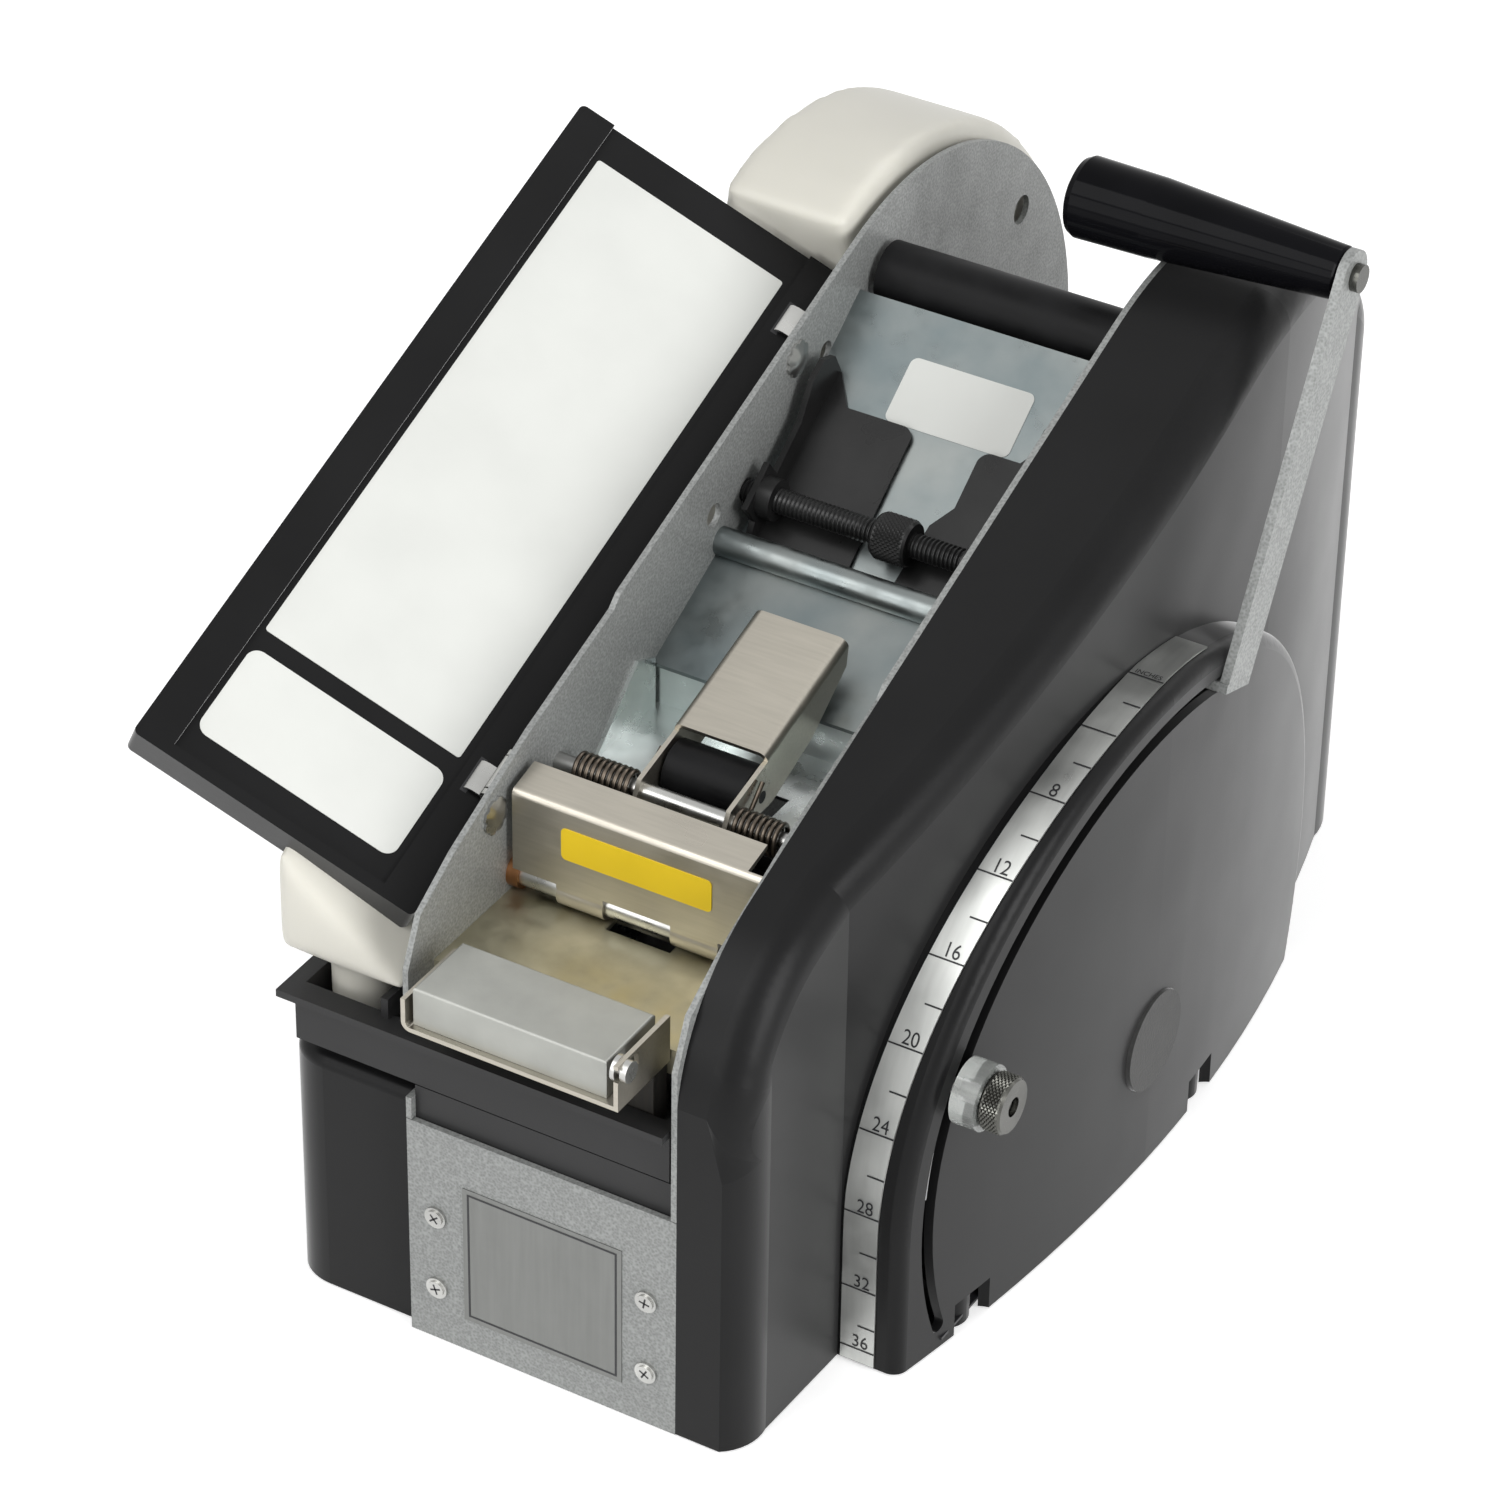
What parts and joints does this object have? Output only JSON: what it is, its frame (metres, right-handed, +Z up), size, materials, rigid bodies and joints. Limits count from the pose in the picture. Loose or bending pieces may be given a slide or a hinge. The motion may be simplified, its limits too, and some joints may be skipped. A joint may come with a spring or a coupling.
{
  "type": "gummed tape dispenser",
  "caption": "Bench dispenser for gummed paper tape: steel side plates, moulded covers, pull crank with length scale, feed rollers, cutter, wetting tank with bottle, and hinged lid.",
  "frame": {"origin": "centre of the base's underside, midway between the side plates and midway along the base", "axes": "+X towards the crank's side, +Y from the front, where the tape comes out, to the rear, +Z up"},
  "size_m": [0.2551, 0.4188, 0.2846],
  "materials": {
    "hammertone_steel": "grey hammertone enamel",
    "black_plastic": "fine satin moulded black",
    "black_tank": "satin moulded black",
    "cap_plastic": "dark textured plastic",
    "black_rubber": "smooth black rubber",
    "grip_plastic": "polished black",
    "guide_plastic": "semi-gloss black",
    "stainless": "bright rolled stainless",
    "zinc_sheet": "bluish zinc plate",
    "zinc_parts": "zinc plated",
    "gold_zinc": "pale gold zinc plate",
    "copper_bush": "copper coloured bush",
    "spring_wire": "dark bronze wire",
    "weight_metal": "grey die-cast metal",
    "silver_scale": "brushed silver with black marks",
    "white_label": "bare white label",
    "silver_plate": "bare satin plate with a thin black border",
    "yellow_label": "bare yellow label",
    "milk_plastic": "milky translucent polyethylene",
    "clear_plastic": "clear plastic",
    "bristle": "dark bristles"
  },
  "bodies": {
    "frame": {"side_plate_right": "hammertone_steel", "side_plate_left": "hammertone_steel", "front_panel": "hammertone_steel", "base_pan": "hammertone_steel", "name_plate": "silver_plate", "panel_screw_1": "zinc_parts", "panel_screw_2": "zinc_parts", "panel_screw_3": "zinc_parts", "panel_screw_4": "zinc_parts", "left_cover": "black_plastic", "right_housing": "black_plastic", "pivot_cap": "cap_plastic", "scale_strip": "silver_scale", "roller_axle": "zinc_parts", "back_plate": "zinc_sheet", "back_label": "white_label", "rolled_feed_plate": "zinc_sheet", "feed_pan": "zinc_sheet", "spring_shaft": "zinc_parts", "spring_left": "spring_wire", "spring_right": "spring_wire", "shear_shaft": "zinc_parts", "shaft_bush": "copper_bush", "lower_blade": "zinc_parts", "tape_table": "gold_zinc", "tank_holder": "black_tank", "hinge_front": "zinc_parts", "hinge_rear": "zinc_parts", "water_bottle": "milk_plastic"},
    "crank": {"crank_shaft": "zinc_parts", "crank_arm": "hammertone_steel", "grip_screw": "zinc_parts"},
    "handle": {"grip": "grip_plastic"},
    "stop": {"stop_bolt": "zinc_parts", "stop_bushing": "clear_plastic"},
    "nut": {"stop_nut": "zinc_parts"},
    "lid": {"lid_tray": "black_plastic", "lid_label_small": "white_label", "lid_label_large": "white_label", "lid_strap_front": "zinc_parts", "lid_strap_rear": "zinc_parts"},
    "tape_roller": {"top_roller": "black_rubber"},
    "guide_screw": {"guide_rod": "guide_plastic", "thumbwheel": "guide_plastic"},
    "left_guide": {"guide_left": "guide_plastic", "guide_left_flap": "guide_plastic"},
    "right_guide": {"guide_right": "guide_plastic", "guide_right_flap": "guide_plastic"},
    "drive_roller": {"feed_roller": "black_rubber"},
    "pressure_arm": {"pressure_channel": "stainless"},
    "press_wheel": {"pressure_roller": "black_rubber"},
    "cutter": {"blade_guard": "stainless", "guard_label": "yellow_label", "upper_blade": "stainless"},
    "weight": {"weight_bracket": "stainless", "weight_block": "weight_metal", "weight_screw": "zinc_parts"},
    "tank": {"water_tank": "black_tank", "brush_block": "black_tank", "brush_bristles": "bristle"}
  },
  "joints": [
    {"name": "crank_pull", "type": "hinge", "parent": "frame", "child": "crank", "pos_m": [0.06, -0.013, 0.048], "axis": [1, 0, 0], "range_deg": [0, 70]},
    {"name": "grip_spin", "type": "hinge", "parent": "crank", "child": "handle", "pos_m": [0.06, 0.085, 0.2716], "axis": [1, 0, 0], "continuous": true},
    {"name": "stop_travel", "type": "hinge", "parent": "frame", "child": "stop", "pos_m": [0.1, -0.013, 0.048], "axis": [1, 0, 0], "range_deg": [-8, 42]},
    {"name": "stop_nut_turn", "type": "hinge", "parent": "stop", "child": "nut", "pos_m": [0.11, -0.12066, 0.09752], "axis": [1, 0, 0], "continuous": true},
    {"name": "lid_swing", "type": "hinge", "parent": "frame", "child": "lid", "pos_m": [-0.0487, -0.19593, 0.14766], "axis": [0, -0.9357, -0.3528], "range_deg": [-151, 0]},
    {"name": "tape_roller_spin", "type": "hinge", "parent": "frame", "child": "tape_roller", "pos_m": [0, 0.071, 0.2335], "axis": [1, 0, 0], "continuous": true},
    {"name": "left_guide_slide", "type": "slide", "parent": "frame", "child": "left_guide", "axis": [1, 0, 0], "range_m": [0, 0.008]},
    {"name": "right_guide_slide", "type": "slide", "parent": "frame", "child": "right_guide", "axis": [-1, 0, 0], "range_m": [0, 0.008]},
    {"name": "guide_screw_turn", "type": "hinge", "parent": "frame", "child": "guide_screw", "pos_m": [0, -0.011, 0.197], "axis": [1, 0, 0], "range_deg": [0, 1440]},
    {"name": "feed_spin", "type": "hinge", "parent": "frame", "child": "drive_roller", "pos_m": [0, -0.102, 0.1385], "axis": [1, 0, 0], "continuous": true},
    {"name": "pressure_lift", "type": "hinge", "parent": "frame", "child": "pressure_arm", "pos_m": [0, -0.118, 0.16], "axis": [1, 0, 0], "range_deg": [0, 40], "stiffness_Nm_per_rad": 0.15, "springref_deg": -20.05},
    {"name": "press_wheel_spin", "type": "hinge", "parent": "pressure_arm", "child": "press_wheel", "pos_m": [0, -0.102, 0.16], "axis": [1, 0, 0], "continuous": true},
    {"name": "cutter_swing", "type": "hinge", "parent": "frame", "child": "cutter", "pos_m": [0, -0.142, 0.136], "axis": [1, 0, 0], "range_deg": [0, 25], "stiffness_Nm_per_rad": 0.08, "springref_deg": -28.65},
    {"name": "weight_lift", "type": "hinge", "parent": "frame", "child": "weight", "pos_m": [0, -0.185, 0.1295], "axis": [-1, 0, 0], "range_deg": [0, 75]},
    {"name": "tank_slide", "type": "slide", "parent": "frame", "child": "tank", "axis": [0, -1, 0], "range_m": [0, 0.025]}
  ],
  "couplings": [
    {"joint": "right_guide_slide", "follows": "left_guide_slide", "ratio": 1},
    {"joint": "guide_screw_turn", "follows": "left_guide_slide", "rad_per_m": 3141.6},
    {"joint": "feed_spin", "follows": "crank_pull", "ratio": 39.439},
    {"joint": "press_wheel_spin", "follows": "crank_pull", "ratio": -52.586}
  ]
}
